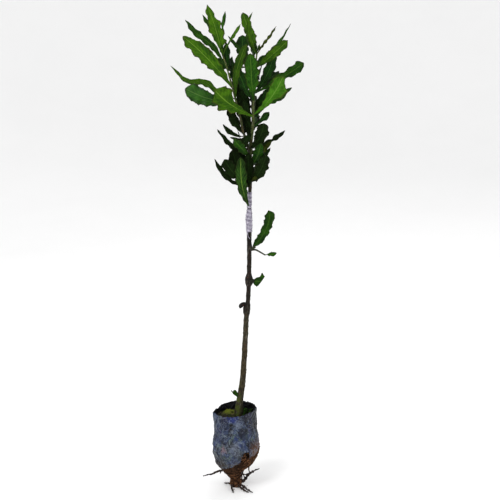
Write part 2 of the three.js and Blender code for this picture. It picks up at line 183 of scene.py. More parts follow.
# ---- Meshes ----
class Heap:
    """Quads of many small shapes that become one piece."""

    def __init__(self):
        self.verts, self.faces, self.slots, self.maps, self.count = [], [], [], [], 0

    def grid(self, points, slots=0, coords=None):
        """Quads over rows of points, each row's end joined to its start."""
        rows, cols = points.shape[:2]
        i, j = np.meshgrid(np.arange(rows - 1), np.arange(cols), indexing="ij")
        k = (j + 1) % cols
        quads = np.stack([i * cols + j, i * cols + k, (i + 1) * cols + k, (i + 1) * cols + j], -1)
        quads = quads.reshape(-1, 4)
        self.verts.append(points.reshape(-1, 3))
        self.faces.append(quads + self.count)
        self.slots.append(np.broadcast_to(slots, len(quads)))
        self.maps.append(np.zeros((rows * cols, 2)) if coords is None else coords.reshape(-1, 2))
        self.count += rows * cols

    def build(self, name, looks):
        """Makes the piece, in metres."""
        verts = np.vstack(self.verts) * MM
        faces = np.vstack(self.faces)
        mesh = bpy.data.meshes.new(name)
        mesh.vertices.add(len(verts))
        mesh.vertices.foreach_set("co", verts.astype(np.float32).ravel())
        mesh.loops.add(faces.size)
        mesh.loops.foreach_set("vertex_index", faces.astype(np.int32).ravel())
        mesh.polygons.add(len(faces))
        mesh.polygons.foreach_set("loop_start", np.arange(0, faces.size, 4, dtype=np.int32))
        mesh.polygons.foreach_set("material_index", np.concatenate(self.slots).astype(np.int32))
        layer = mesh.uv_layers.new(name="place")
        layer.data.foreach_set("uv", np.vstack(self.maps)[faces.ravel()].astype(np.float32).ravel())
        mesh.update(calc_edges=True)
        mesh.validate()
        mesh.polygons.foreach_set("use_smooth", np.ones(len(mesh.polygons), bool))
        for look in looks:
            mesh.materials.append(look.material)
        piece = bpy.data.objects.new(name, mesh)
        bpy.context.scene.collection.objects.link(piece)
        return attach(piece, "root")


def tube(line, radii, sides, relief=None):
    """Rows of points round a line. relief(points, outward, share) gives how far each stands out."""
    a, b = frames_along(line)
    turn = round_turn(sides)
    outward = a[:, None] * np.cos(turn)[None, :, None] + b[:, None] * np.sin(turn)[None, :, None]
    points = line[:, None] + outward * radii[:, None, None]
    if relief is not None:
        share = np.linspace(0, 1, len(line))[:, None] * np.ones(sides)
        points = points + outward * relief(points, outward, share)[..., None]
    start, end = (np.repeat(line[k][None], sides, 0)[None] for k in (0, -1))
    return np.vstack([start, points, end])


def rings(limb, start, end, step, sides, relief=None, grow=0.0):
    """A tube along a limb between two shares of its length."""
    count = max(3, int(limb.length * (end - start) / step))
    share = np.linspace(start, end, count)
    return tube(limb.at(share), limb.radius(share) + grow, sides, relief)


# ---- Materials ----
def linear(r, g, b):
    """An sRGB colour of 0 to 255 as the linear values that shaders take."""
    def one(c):
        c = c / 255
        return c / 12.92 if c <= 0.04045 else ((c + 0.055) / 1.055) ** 2.4
    return one(r), one(g), one(b), 1


class Look:
    """A node material: coats of colour laid over a ground. Sockets are passed about as plain values."""

    def __init__(self, name, roughness, specular, ground):
        self.material = bpy.data.materials.new(name)
        self.material.use_nodes = True
        self.tree = self.material.node_tree
        self.shader = next(n for n in self.tree.nodes if n.type == "BSDF_PRINCIPLED")
        self.put(self.shader, {"Roughness": roughness, "Specular IOR Level": specular})
        self.place = self.node("ShaderNodeTexCoord").outputs["Object"]
        self.shade = ground

    def node(self, kind, inputs=(), **settings):
        made = self.tree.nodes.new(kind)
        for key, value in settings.items():
            setattr(made, key, value)
        self.put(made, dict(inputs))
        return made

    def put(self, node, inputs):
        """Links or sets each input."""
        for socket, value in inputs.items():
            if isinstance(value, bpy.types.NodeSocket):
                self.tree.links.new(value, node.inputs[socket])
            else:
                node.inputs[socket].default_value = value

    def noise(self, scale, detail=4, rough=0.55, stretch=(1, 1, 1), warp=0.0, place=None, seed=0):
        shift = (0.73 * seed, 0.31 * seed, 0.57 * seed)
        inputs = {"Vector": place or self.place, "Location": shift, "Scale": stretch}
        spread = self.node("ShaderNodeMapping", inputs).outputs[0]
        inputs = {"Vector": spread, "Scale": scale, "Detail": detail, "Roughness": rough, "Distortion": warp}
        return self.node("ShaderNodeTexNoise", inputs).outputs["Fac"]

    def ridge(self, width, *noise, **settings):
        """Thin wandering lines, 1 along their middle."""
        off = self.math("ABSOLUTE", self.math("SUBTRACT", self.noise(*noise, **settings), 0.5))
        return self.span(off, width, 0.0)

    def spray(self, centre, reach, strength):
        """A soft ragged patch round a place in mm, fading out at that reach."""
        inputs = {0: self.place, 1: tuple(c * MM for c in centre)}
        far = self.node("ShaderNodeVectorMath", inputs, operation="DISTANCE").outputs["Value"]
        ragged = self.math("ADD", far, self.wander(reach * 1.4 * MM, 110, 4))
        return self.span(ragged, reach * MM, 0.35 * reach * MM, 0, strength)

    def math(self, operation, a, b=0.0):
        return self.node("ShaderNodeMath", {0: a, 1: b}, operation=operation).outputs[0]

    def times(self, a, b):
        return self.math("MULTIPLY", a, b)

    def wander(self, size, *noise):
        """Noise about zero, of about that size."""
        return self.times(self.math("SUBTRACT", self.noise(*noise), 0.5), size)

    def span(self, value, low, high, to_low=0.0, to_high=1.0):
        """value from low..high stretched to to_low..to_high, held at the ends."""
        inputs = {"Value": value, "From Min": low, "From Max": high, "To Min": to_low, "To Max": to_high}
        return self.node("ShaderNodeMapRange", inputs, interpolation_type="SMOOTHSTEP").outputs[0]

    def mix(self, share, a, b):
        """From a to b, each a socket, an sRGB colour of 0 to 255, or a linear one of four values."""
        a, b = (linear(*v) if isinstance(v, tuple) and len(v) == 3 else v for v in (a, b))
        return self.node("ShaderNodeMix", {0: share, 6: a, 7: b}, data_type="RGBA").outputs[2]

    def coat(self, share, colour):
        """Lays a colour over those laid so far."""
        self.shade = self.mix(share, self.shade, colour)
        self.put(self.shader, {"Base Color": self.shade})

    def axis(self, place, name):
        return self.node("ShaderNodeSeparateXYZ", {0: place}).outputs[name]

    def roughness(self, value):
        self.put(self.shader, {"Roughness": value})

    def bump(self, height, distance, strength):
        """Adds to the bumps so far."""
        inputs = {"Strength": strength, "Distance": distance, "Height": height}
        before = self.shader.inputs["Normal"]
        if before.is_linked:
            inputs["Normal"] = before.links[0].from_socket
        self.put(self.shader, {"Normal": self.node("ShaderNodeBump", inputs).outputs[0]})


def leaf_look(name, dark, bright, rib, margin, rough, specular, under=False):
    """A waxy leaf: a streaked blade, a paler midrib and side veins, and a brown margin and tip."""
    look = Look(name, rough, specular, dark)
    place = look.node("ShaderNodeUVMap", uv_map="place").outputs[0]
    along, across = look.axis(place, "X"), look.axis(place, "Y")
    off_rib = look.math("ABSOLUTE", across)
    # the leaf's own coordinates stretch the streaks along it, the object's tell leaves apart
    inputs = {0: look.place, 1: (14, 14, 14), 2: place}
    spread = look.node("ShaderNodeVectorMath", inputs, operation="MULTIPLY_ADD").outputs[0]
    streaks = look.noise(2.2, 5, 0.6, place=spread)
    mottle = look.math("ADD", look.times(look.noise(55, 4), 0.5), look.times(streaks, 0.5))
    look.coat(look.span(mottle, 0.41, 0.6), bright)
    look.coat(look.span(off_rib, 0.7, 0.1, 0, 0.25), bright)
    # side veins leave the midrib forwards, about 9 mm apart
    slant = look.math("SUBTRACT", along, look.times(off_rib, 0.17))
    vein = look.math("SINE", look.times(slant, 2 * math.pi * VEINS))
    veins = look.span(vein, 0.82, 1.0)
    look.coat(look.times(veins, 0.22), rib)
    look.coat(look.span(vein, -0.7, -1.0, 0, 0.3), dark)
    look.coat(look.span(off_rib, 0.08, 0.03), rib)
    ragged = look.math("ADD", off_rib, look.wander(0.3, 90, 3))
    edge = look.math("MAXIMUM", look.span(ragged, 0.8, 0.98, 0, 0.85), look.span(along, 0.93, 1, 0, 0.6))
    look.coat(edge, margin)
    look.roughness(look.span(look.noise(60, 3), 0.3, 0.7, rough - 0.06, rough + 0.1))
    relief = look.math("ADD", look.times(veins, 1.0 if under else -1.0), look.noise(700, 2))
    look.bump(relief, 0.0005, 0.6)
    look.bump(look.noise(130, 3), 0.0012, 0.5)
    look.bump(look.span(off_rib, 0.1, 0.0), 0.0006, 0.6 if under else -0.6)
    return look


# ---- Leaves ----
VEINS = 13  # side veins along a blade
STATIONS = 90  # places along a blade, and across it
ACROSS = np.array([-1, -0.9, -0.72, -0.48, -0.24, -0.07, 0.07, 0.24, 0.48, 0.72, 0.9, 1])
# Half width by share of the length, for each habit that a blade has.
HABITS = {
    "lance": [(0, 0.12), (0.1, 0.13), (0.22, 0.34), (0.42, 0.8), (0.6, 1), (0.78, 0.84), (0.92, 0.46), (1, 0)],
    "spatula": [(0, 0.12), (0.12, 0.14), (0.3, 0.34), (0.52, 0.7), (0.74, 1), (0.9, 0.92), (0.97, 0.6), (1, 0)],
    "oblong": [(0, 0.16), (0.04, 0.3), (0.1, 0.66), (0.3, 0.84), (0.55, 0.88), (0.8, 1), (0.93, 0.86), (1, 0)],
    "blunt": [(0, 0.13), (0.1, 0.18), (0.28, 0.54), (0.48, 0.86), (0.68, 1), (0.86, 0.88), (0.96, 0.6), (1, 0)],
    "paddle": [(0, 0.12), (0.14, 0.16), (0.34, 0.42), (0.6, 0.66), (0.82, 0.96), (0.92, 1), (0.98, 0.7), (1, 0)],
    "tail": [(0, 0.13), (0.1, 0.2), (0.25, 0.72), (0.42, 1), (0.56, 0.74), (0.72, 0.4), (0.88, 0.3), (1, 0)],
    "taper": [(0, 0.14), (0.1, 0.2), (0.28, 0.72), (0.46, 1), (0.64, 0.9), (0.8, 0.62), (0.93, 0.42), (1, 0)],
    "taper2": [(0, 0.25), (0.35, 0.3), (0.48, 0.5), (0.66, 1), (0.82, 0.8), (0.93, 0.45), (1, 0)],
    "ribbon": [(0, 0.3), (0.1, 0.35), (0.3, 0.8), (0.55, 1), (0.75, 0.8), (0.92, 0.5), (1, 0)],
    "cut": [(0, 0.35), (0.1, 0.85), (0.3, 1), (1, 1)],
}
SOFTEN = 0.05  # share of the length over which a habit's corners are rounded
LOBE_REACH = 0.06  # share of the length that a swelling of the margin takes up


def half_widths(habit, u):
    """The habit's half width, with its corners rounded off."""
    near = np.linspace(-SOFTEN, SOFTEN, 9)
    shares, widths = np.array(HABITS[habit]).T
    soft = np.mean([np.interp(u + d, shares, widths) for d in near], 0)
    return soft if habit == "cut" else soft * np.clip((1 - u) / 0.03, 0, 1) ** 0.5


def leaf_surface(base, leaf, rng):
    """The upper face of a leaf: points by station and place across, and the leaf's own coordinates.

    Seen on its upper face with the tip up, the left margin is at +1 across and the right at -1.
    """
    azimuth, rise, length, width, face, bow = leaf["aim"]
    tip = base + heading(azimuth, rise) * length
    bend = base + heading(azimuth, rise - bow) * length * 0.5
    u = np.linspace(0, leaf["cut"], STATIONS)
    t = u[:, None]
    rib = (1 - t) ** 2 * base + 2 * t * (1 - t) * bend + t**2 * tip
    looks = np.array([0, 0, 1.0]) if face is None else heading(face, FACE_RISE)
    along = unit(np.gradient(rib, axis=0))
    upper = unit(looks - (along @ looks)[:, None] * along)
    across = np.cross(upper, along)
    swing = np.sin(math.pi * u)
    snake = np.sin(2 * math.pi * (leaf["bends"] * u + leaf["lag"]))
    rib = rib + across * (leaf["sweep"] * swing + leaf["snake"] * snake * swing)[:, None]
    rib = rib + across * (leaf["hook"] * np.clip((u - 0.75) / 0.25, 0, 1) ** 2)[:, None]
    rib = rib + upper * (leaf["sway"] * np.sin(2 * math.pi * (1.4 * u + rng.random())) * swing)[:, None]
    along = unit(np.gradient(rib, axis=0))
    upper = unit(looks - (along @ looks)[:, None] * along)
    across = np.cross(upper, along)
    roll = np.radians(leaf["twist"] * (u - 0.3) + leaf["roll"])
    rock = np.radians(6 * np.sin(2 * math.pi * (1.7 * u + rng.random())))
    c, s = np.cos(roll + rock)[:, None], np.sin(roll + rock)[:, None]
    across, upper = across * c + upper * s, upper * c - across * s

    half = width / 2 * half_widths(leaf["habit"], u)
    half = np.maximum(half, STALK_R * np.clip(1.5 - 4 * u, 0.3, 1.4) * min(1, width / 14))
    blade = np.clip((u - 0.1) / 0.12, 0, 1) * np.clip((1 - u) / 0.05, 0, 1) ** 0.5
    waves = leaf["waves"] * leaf["cut"]
    points = np.zeros((STATIONS, len(ACROSS), 3))
    coords = np.zeros((STATIONS, len(ACROSS), 2))
    for side in (-1, 1):
        start = rng.random()
        beat = 2 * math.pi * (waves * u + start + 0.12 * np.sin(2 * math.pi * (1.9 * u + rng.random())))
        ruffle = 0.12 * width * np.sin(beat) * (0.75 + 0.25 * np.sin(2 * math.pi * (u * 2.3 + rng.random())))
        teeth = np.maximum(0, np.sin(beat * 2.3 + rng.random())) ** 2
        margin = 1 + blade * (leaf["lobe"] * np.cos(beat + 0.6) + 0.08 * teeth)
        for share, size in leaf["left" if side == 1 else "right"]:
            margin = margin + size * bell(u, share, LOBE_REACH)
        fold = math.radians(leaf["fold"])
        for column, v in enumerate(ACROSS):
            if np.sign(v) != side:
                continue
            reach = half * abs(v) * (1 + (margin - 1) * abs(v))
            lift = reach * math.sin(fold) * (1 - 0.35 * abs(v)) + ruffle * blade * abs(v) ** 1.7
            quilt = np.sin(2 * math.pi * VEINS * (u - 0.17 * abs(v))) * blade * abs(v) * (1.15 - abs(v))
            lift = lift - 0.35 * np.maximum(quilt, 0) ** 2
            offset = across * (reach * side * math.cos(fold))[:, None] + upper * lift[:, None]
            offset = offset + along * (leaf["slant"] * v * u / leaf["cut"])[:, None]
            points[:, column] = rib + offset
            coords[:, column] = np.stack([u, np.full(STATIONS, v)], -1)
    return points, coords, half


def add_leaf(heap, base, leaf, rng, tone=0):
    """A closed blade with a raised midrib beneath. tone picks the pair of materials it wears."""
    top, coords, half = leaf_surface(np.asarray(base, float), leaf, rng)
    du = np.gradient(top, axis=0)
    dv = np.gradient(top, axis=1)
    normal = unit(np.cross(dv, du))
    u = np.linspace(0, 1, STATIONS)[:, None]
    ridge = 1.5 * bell(ACROSS[None], 0, 0.12) * np.clip(1.1 - u, 0, 1)
    stalk = np.clip(1 - half[:, None] / (3 * STALK_R), 0, 1) * STALK_R * 1.2 * (1 - u)
    thick = BLADE * (0.55 + 0.45 * (1 - ACROSS[None] ** 2)) + ridge * np.minimum(1, half[:, None] / 6)
    thick = np.minimum(thick + stalk, THICKEST)
    below = top - normal * thick[..., None]
    across = len(ACROSS)
    loop = np.concatenate([top, below[:, ::-1]], axis=1)
    loop_coords = np.concatenate([coords, coords[:, ::-1]], axis=1)
    ends = [np.repeat(loop[i].mean(0)[None], 2 * across, 0)[None] for i in (0, -1)]
    loop = np.vstack([ends[0], loop, ends[1]])
    loop_coords = np.vstack([loop_coords[:1], loop_coords, loop_coords[-1:]])
    rows = len(loop) - 1
    under = np.concatenate([np.zeros(across), np.ones(across)])
    slots = np.tile(under, (rows, 1)) + 2 * tone
    heap.grid(loop, slots.ravel(), loop_coords)


def leaf(azimuth, rise, length, width, shade, bow=BOW, face=FRONT, **shape):
    """One leaf's aim, as in the CAD, and how its blade is waved, folded and curled.

    sweep, snake and hook bend the midrib sideways in mm, sway bends it out of the blade. left and
    right are places where a margin swells or draws in: its share of the length, and size. slant
    pushes the left margin's end forwards and the right one's back. up lifts the leaf along its limb.
    """
    return {
        "aim": (azimuth, rise, length, width, face, bow), "shade": shade, "cut": 1.0, "habit": "lance",
        "sweep": 0.0, "snake": 0.0, "bends": 1.0, "lag": 0.0, "hook": 0.0, "sway": 1.2, "twist": 0.0,
        "roll": 0.0, "slant": 0.0, "fold": 14.0, "waves": length / 22, "lobe": 0.12, "left": (),
        "right": (), "up": 0, **shape,
    }


def upward(*aim, **shape):
    """A leaf whose blade looks up instead of to the front."""
    return leaf(*aim, face=None, **shape)


# Leaf masses, by the CAD solid they replace: the limb and height they grow from, and their leaves.
FOLIAGE = {
    "crown_tip": (STEM, 953, [
        leaf(126, 60, 101, 21, "bright", 4, habit="blunt", roll=8,
            left=[(0.75, -0.15)], right=[(0.26, 0.6), (0.4, 0.8), (0.55, 0.2)]),
        leaf(-118, 70, 90, 8, "bright", 4, habit="ribbon", sweep=9, hook=-6),
        leaf(-47, 44, 81, 6, "olive", -6, habit="ribbon", waves=5, lobe=0.3, snake=1.2, sweep=-2),
        upward(108, 42, 85, 20, "mid"),
    ]),
    "upper_right": (STEM, 925, [
        leaf(19, 49, 121, 13, "mid", face=-60, habit="tail", snake=2, lag=0.2, sweep=2.5),
        leaf(-34, 35, 98, 20, "bright", 2, habit="blunt", sweep=-1.5,
            left=[(0.3, 0.4), (0.5, 0.3), (0.78, -0.25)], right=[(0.6, 0.2)]),
        leaf(137, 40, 105, 9, "mid", 0, left=[(0.6, -0.5)], right=[(0.6, -0.5)]),
    ]),
    "right": (STEM, 872, [
        leaf(7, 31, 124, 26, "mid", 4, face=-60, habit="paddle", twist=20,
            left=[(0.45, 0.9), (0.57, 0.4)], right=[(0.6, -0.3), (0.95, -0.35)]),
        leaf(56, 47, 116, 23, "deep", habit="blunt", sweep=-2),
    ]),
    "centre": (STEM, 855, [
        leaf(-99, 65, 109, 29, "mid", habit="blunt", right=[(0.86, 0.2), (0.42, 0.4), (0.62, 0.35)]),
        leaf(-60, 68, 124, 19, "bright", 8, habit="blunt", on=(LEFT_BOUGH, 858), sweep=11, twist=-25, roll=6),
        upward(128, 52, 100, 24, "deep"),
    ]),
    "left_front": (STEM, 823, [
        leaf(-146, 30, 112, 40, "bright", habit="spatula", roll=-6,
            left=[(0.52, 0.25), (0.68, 0.35), (0.86, 0.2)], right=[(0.92, 0.3), (0.78, 0.45), (0.5, -0.55)]),
        upward(126, 28, 95, 24, "dark"),
    ]),
    "front_right": (STEM, 815, [
        leaf(-43, 44, 116, 33, "lime", 21, habit="spatula", up=12, sweep=1,
            left=[(0.2, 0.5)],
            right=[(0.3, -0.2), (0.42, -0.4), (0.55, -0.2), (0.72, 0.4), (0.82, 0.4), (0.95, -0.3)]),
        leaf(16, 32, 101, 16, "mid", 0, face=-60, habit="taper", up=16,
            left=[(0.9, 0.4)], right=[(0.3, -0.4), (0.42, -0.5), (0.66, 0.5), (0.76, 0.5)]),
        leaf(34, 36, 53, 16, "deep", 8, habit="taper2", up=-12),
        leaf(40, 57, 88, 22, "deep", up=4),
    ]),
    "centre_low": (STEM, 790, [
        leaf(150, 66, 86, 26, "dark"),
        leaf(-136, -42, 48, 20, "dark", -10),
        upward(80, 22, 90, 24, "dark"),
        leaf(166, 74, 68, 19, "dark", 8, up=4),
        leaf(128, 80, 62, 17, "dark", up=-22),
    ]),
    "mid_right": (STEM, 757, [
        leaf(-64, 41, 82, 30, "dark", habit="blunt", sweep=-4),
        leaf(12, 25, 84, 13, "dark", face=-60, snake=-1.5, hook=1.5, sweep=-0.5,
            left=[(0.6, -0.6)], right=[(0.6, -0.6)]),
    ]),
    "mid_left": (STEM, 738, [
        leaf(-166, 39, 93, 14, "dark", 20, face=-60),
        leaf(-124, 33, 77, 22, "mid", 6),
        upward(115, 38, 85, 22, "dark"),
    ]),
    "low_upper": (STEM, 717, [
        upward(-72, 38, 92, 26, "mid"),
        leaf(34, 36, 64, 12, "dark"),
        leaf(160, 50, 62, 24, "dark"),
        leaf(-35, 41, 72, 13, "olive", 6, up=12),
    ]),
    "low_right": (STEM, 692, [
        leaf(-58, 45, 89, 27, "dark", 22, habit="blunt", up=-9, right=[(0.25, 0.4)]),
        upward(60, 38, 85, 22, "dark"),
        leaf(-70, 2, 36, 15, "olive", -10),
    ]),
    "low_left": (STEM, 674, [
        leaf(167, 37, 98, 13, "dark", 26, sweep=4, right=[(0.42, -0.4)]),
        leaf(-140, 42, 95, 28, "dark", habit="spatula", left=[(0.32, -0.7), (0.44, -0.5)]),
        leaf(-155, 63, 90, 30, "dark", habit="blunt"),
        upward(112, 40, 90, 22, "dark"),
        leaf(-100, 74, 80, 24, "dark"),
    ]),
    "low_front": (STEM, 631, [
        leaf(-120, 72, 116, 25, "shaded", 28, habit="blunt", left=[(0.12, -0.3)]),
    ]),
    "left_top": (LEFT_BOUGH, 952, [
        leaf(-139, 68, 110, 23, "bright", -2, habit="taper", sweep=-1.5,
            left=[(0.87, 0.55), (0.52, 0.35), (0.66, 0.25)],
            right=[(0.6, 0.4), (0.75, -0.15), (0.25, 1.2), (0.4, 0.5)]),
        leaf(83, 64, 102, 10, "mid", 4, habit="ribbon", sweep=4,
            left=[(0.62, -0.6)], right=[(0.62, -0.6), (0.88, 0.4)]),
        leaf(-50, 46, 86, 9, "bright", -4, habit="taper2", snake=1),
    ]),
    "left_upper": (LEFT_BOUGH, 935, [
        leaf(173, 46.7, 124, 16, "mid", -2, habit="taper", snake=4, lag=-0.55,
            left=[(0.84, 0.4)], right=[(0.7, 0.3)]),
        leaf(132, 54, 129, 12, "mid", 2, sweep=-7, left=[(0.88, 0.6)]),
        leaf(100, 72, 62, 17, "deep", up=-14),
    ]),
    "left_mid": (LEFT_BOUGH, 884, [
        leaf(-167, 45.2, 149, 31, "bright", -3, habit="blunt", sweep=-3,
            right=[(0.9, -0.4), (0.22, 0.5), (0.35, 0.3), (0.5, 0.3), (0.64, 0.2)]),
        upward(92, 50, 88, 25, "deep"),
    ]),
    "left_low": (LEFT_BOUGH, 850, [
        leaf(172, 25, 162, 12, "bright", 2, habit="taper", sweep=-7, snake=7, bends=1.8, lag=-0.08, hook=-12,
            left=[(0.45, 0.7), (0.6, 0.4), (0.72, 0.3)]),
        leaf(-164, 16.5, 116, 35, "glossy", 19, habit="spatula", sweep=-4, lobe=0.05,
            left=[(0.4, 0.5), (0.55, 0.4), (0.7, 0.2)], right=[(0.9, 0.2)]),
    ]),
    "bough_foot": (LEFT_BOUGH, 783, [
        leaf(153, 25, 58, 11, "dark", 22, sweep=3),
        leaf(-170, 8, 35, 7, "dark", up=-8),
        leaf(162, 60, 72, 22, "dark", 14),
        upward(95, 30, 75, 20, "dark"),
    ]),
    "back_top": (BACK_BOUGH, 927, [
        leaf(100, 50, 92, 28, "deep", habit="blunt", sweep=3),
        upward(150, 12, 86, 24, "mid"),
        upward(35, 25, 80, 24, "mid"),
    ]),
    "back_mid": (BACK_BOUGH, 884, [
        upward(46, 22, 98, 26, "deep"),
        upward(114, 23, 110, 25, "deep"),
    ]),
    "back_low": (BACK_BOUGH, 838, [
        upward(85, 15, 105, 28, "dark"),
        leaf(150, 56, 75, 26, "dark"),
        leaf(35, 42, 90, 26, "dark"),
        leaf(180, 66, 62, 24, "dark", up=-14),
        leaf(20, 60, 50, 18, "dark", up=-8),
    ]),
}
# Leaves on their own, by the CAD solid they replace: where the blade starts, and the blade.
SINGLE_LEAVES = {
    "cut_leaf": ((40, -6, 469), leaf(
        -15, 4, 44, 20, "mid", 0, habit="cut", cut=0.43, fold=4, sway=0, slant=7.9, left=[(0.33, 0.9)],
    )),
    "side_leaf": ((40, -3, 546), leaf(
        -15, 64, 87, 21, "mid", 12, habit="oblong", hook=5, sweep=-4, waves=5, fold=6, right=[(0.94, 0.4)],
    )),
    "drooping_leaf": ((66, 5, 526), leaf(0, 9, 25, 10, "mid", 10, right=[(0.3, 0.7)])),
    "basal_leaf": ((5, -3, 208), leaf(-140, 60, 21, 11, "mid", 0, habit="blunt")),
}
# The shades follow how each leaf is lit as well as its own green: lit leaves at the top of the crown wear lime
# and bright, leaves in shade low down and inside it wear dark. So besides each leaf's colour they carry painted
# light and painted shade.
SHADES = {
    # dark, bright, rib, margin, roughness, specular
    "lime": ((44, 98, 6), (72, 138, 20), (112, 160, 56), (58, 56, 16), 0.4, 0.06),
    "bright": ((20, 52, 2), (52, 90, 4), (88, 122, 34), (44, 42, 12), 0.4, 0.05),
    "mid": ((6, 34, 2), (28, 70, 5), (62, 96, 28), (30, 30, 8), 0.4, 0.05),
    "olive": ((28, 32, 4), (46, 56, 10), (76, 82, 30), (34, 26, 10), 0.5, 0.04),
    "glossy": ((8, 44, 4), (36, 86, 12), (70, 110, 40), (22, 26, 8), 0.3, 0.2),
    "deep": ((1, 16, 1), (9, 44, 4), (36, 76, 24), (14, 16, 6), 0.36, 0.05),
    "shaded": ((5, 22, 4), (28, 64, 14), (112, 142, 52), (20, 24, 8), 0.45, 0.04),
    # dark is painted shade: near-black greens for leaves that lie in shade low down and inside the crown
    "dark": ((1, 4, 1), (5, 17, 2), (16, 32, 10), (9, 8, 4), 0.45, 0.01),
}
UNDERSIDE = (78, 98, 50)  # what a blade's underside is paled with
BUD_LEAVES = 5  # young leaves at a limb's tip
# Leaves that point away from the front, their faces to the sides: height, then as for upward().
BEHIND = [
    (905, 98, 62, 84, 22, "mid"), (884, 76, 34, 96, 25, "deep"), (842, 101, 46, 100, 27, "deep"),
    (806, 84, 30, 92, 27, "mid"), (772, 97, 52, 88, 25, "deep"), (745, 78, 30, 86, 26, "deep"),
    (708, 92, 44, 84, 26, "deep"), (684, 80, 24, 78, 25, "deep"),
]
TONES = 3  # each shade is worn a little darker, as it is, and a little lighter
TONE_STEP = 0.12


def toned(colour, tone):
    return tuple(c * (1 + TONE_STEP * (tone - 1)) for c in colour)


def leaf_looks(shade):
    """The upper and the under face of each tone."""
    *colours, rough, specular = SHADES[shade]
    made = []
    for tone in range(TONES):
        name = f"leaf_{shade}_{tone}"
        made.append(leaf_look(name, *(toned(c, tone) for c in colours), rough, specular))
        pale = [tuple(0.8 * c + 0.2 * g for c, g in zip(colour, UNDERSIDE)) for colour in colours]
        pale = [toned(c, tone) for c in pale]
        made.append(leaf_look(name + "_under", *pale, rough + 0.12, specular * 0.7, True))
    return made


def rolled(label, one):
    """The leaf turned a little about its midrib. Leaves that look up turn further."""
    rng = random.Random("roll of " + label)
    turn = rng.uniform(-14, 14) if one["aim"][4] is not None else rng.choice((-1, 1)) * rng.uniform(35, 68)
    return dict(one, roll=one["roll"] + turn)


def every_leaf():
    """Each leaf's base, shape, and a random source of its own."""
    for mass, (carrier, height, leaves) in FOLIAGE.items():
        for number, one in enumerate(leaves, 1):
            label = f"{mass} {number}"
            rng = random.Random(label)
            limb, level = one.get("on", (carrier, height))
            level += one["up"] + rng.uniform(-1.5, 1.5)
            yield limb.at(min(limb.share_at(level), 1)), rolled(label, one), rng
    for node, (base, one) in SINGLE_LEAVES.items():
        yield base, one, random.Random(node)
    for height, *aim in BEHIND:
        rng = random.Random(f"behind {height}")
        turned = upward(*aim, roll=rng.choice((-1, 1)) * rng.uniform(66, 84), habit="blunt")
        yield STEM.at(STEM.share_at(height)), turned, rng
    for limb in (STEM, LEFT_BOUGH, BACK_BOUGH):
        rng = random.Random(f"bud {limb.length:.0f}")
        for index in range(BUD_LEAVES):
            azimuth, length = 360 / BUD_LEAVES * index + rng.uniform(-25, 25), rng.uniform(12, 24)
            young = upward(azimuth, rng.uniform(45, 80), length, length * 0.3, "mid", waves=3)
            yield limb.at(1.0), young, rng


def foliage():
    heaps = {shade: Heap() for shade in SHADES}
    nodes = {shade: [] for shade in SHADES}
    for mass, (_, _, leaves) in FOLIAGE.items():
        nodes[leaves[0]["shade"]].append(mass + "_foliage")
    for node, (_, one) in SINGLE_LEAVES.items():
        nodes[one["shade"]].append(node)
    for base, one, rng in every_leaf():
        add_leaf(heaps[one["shade"]], base, one, rng, rng.randrange(TONES))
    for shade, heap in heaps.items():
        piece = heap.build(f"leaves_{shade}", leaf_looks(shade))
        if nodes[shade]:
            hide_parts(*nodes[shade])


# ---- Stem and boughs ----
STRIAE = Noise(11, 3.0)
WARTS = Noise(12, 5.5)
LUMPS = Noise(13, 22)
# Heights of the swollen leaf scars.
STEM_SCARS = [
    232, 268, 300, 352, 381, 436, 500, 520, 546, 560, 672, 692, 716, 738, 757, 790, 815, 823, 855, 873, 925,
]


def bark_relief(scale):
    """Long fine furrows, small warts and slow lumps, for a limb of about that radius."""
    def relief(points, outward, share):
        stretched = points * (1, 1, 0.12)
        furrows = -0.28 * creases(STRIAE, stretched + outward * 3) ** 4
        warts = 0.3 * np.maximum(0, WARTS(points)) ** 2
        return scale * (furrows + warts + 0.25 * LUMPS(points))
    return relief


def node_rings(limb, heights, size):
    """Swollen leaf scars: a low collar at each height with three lips round the limb."""
    places = [(limb.at(limb.share_at(h)), 2.1 * i) for i, h in enumerate(heights)]
    def relief(points, outward, share):
        total = np.zeros(points.shape[:2])
        for centre, turn in places:
            off = points[..., 2] - centre[2]
            angle = np.arctan2(outward[..., 1], outward[..., 0])
            lips = 0.55 + 0.45 * np.maximum(0, np.cos(3 * (angle + turn))) ** 0.7
            total += size * lips * bell(off, 0, 1.6) * np.where(off > 0, 1, 0.8)
        return total
    return relief


def summed(*reliefs):
    return lambda points, outward, share: sum(r(points, outward, share) for r in reliefs)


def flutes(points, outward, share):
    """Low ridges where the stem spreads into its roots."""
    near = bell(points[..., 2], SOIL_Z, 14)
    angle = np.arctan2(outward[..., 1], outward[..., 0])
    return near * (1.1 * np.cos(4 * angle + 0.6) + 0.6)


def swelling(height, azimuth, size, tall):
    """A bump on one side of the stem."""
    def relief(points, outward, share):
        facing = np.maximum(0, outward @ heading(azimuth, 0))
        return size * facing**2 * bell(points[..., 2], height, tall)
    return relief


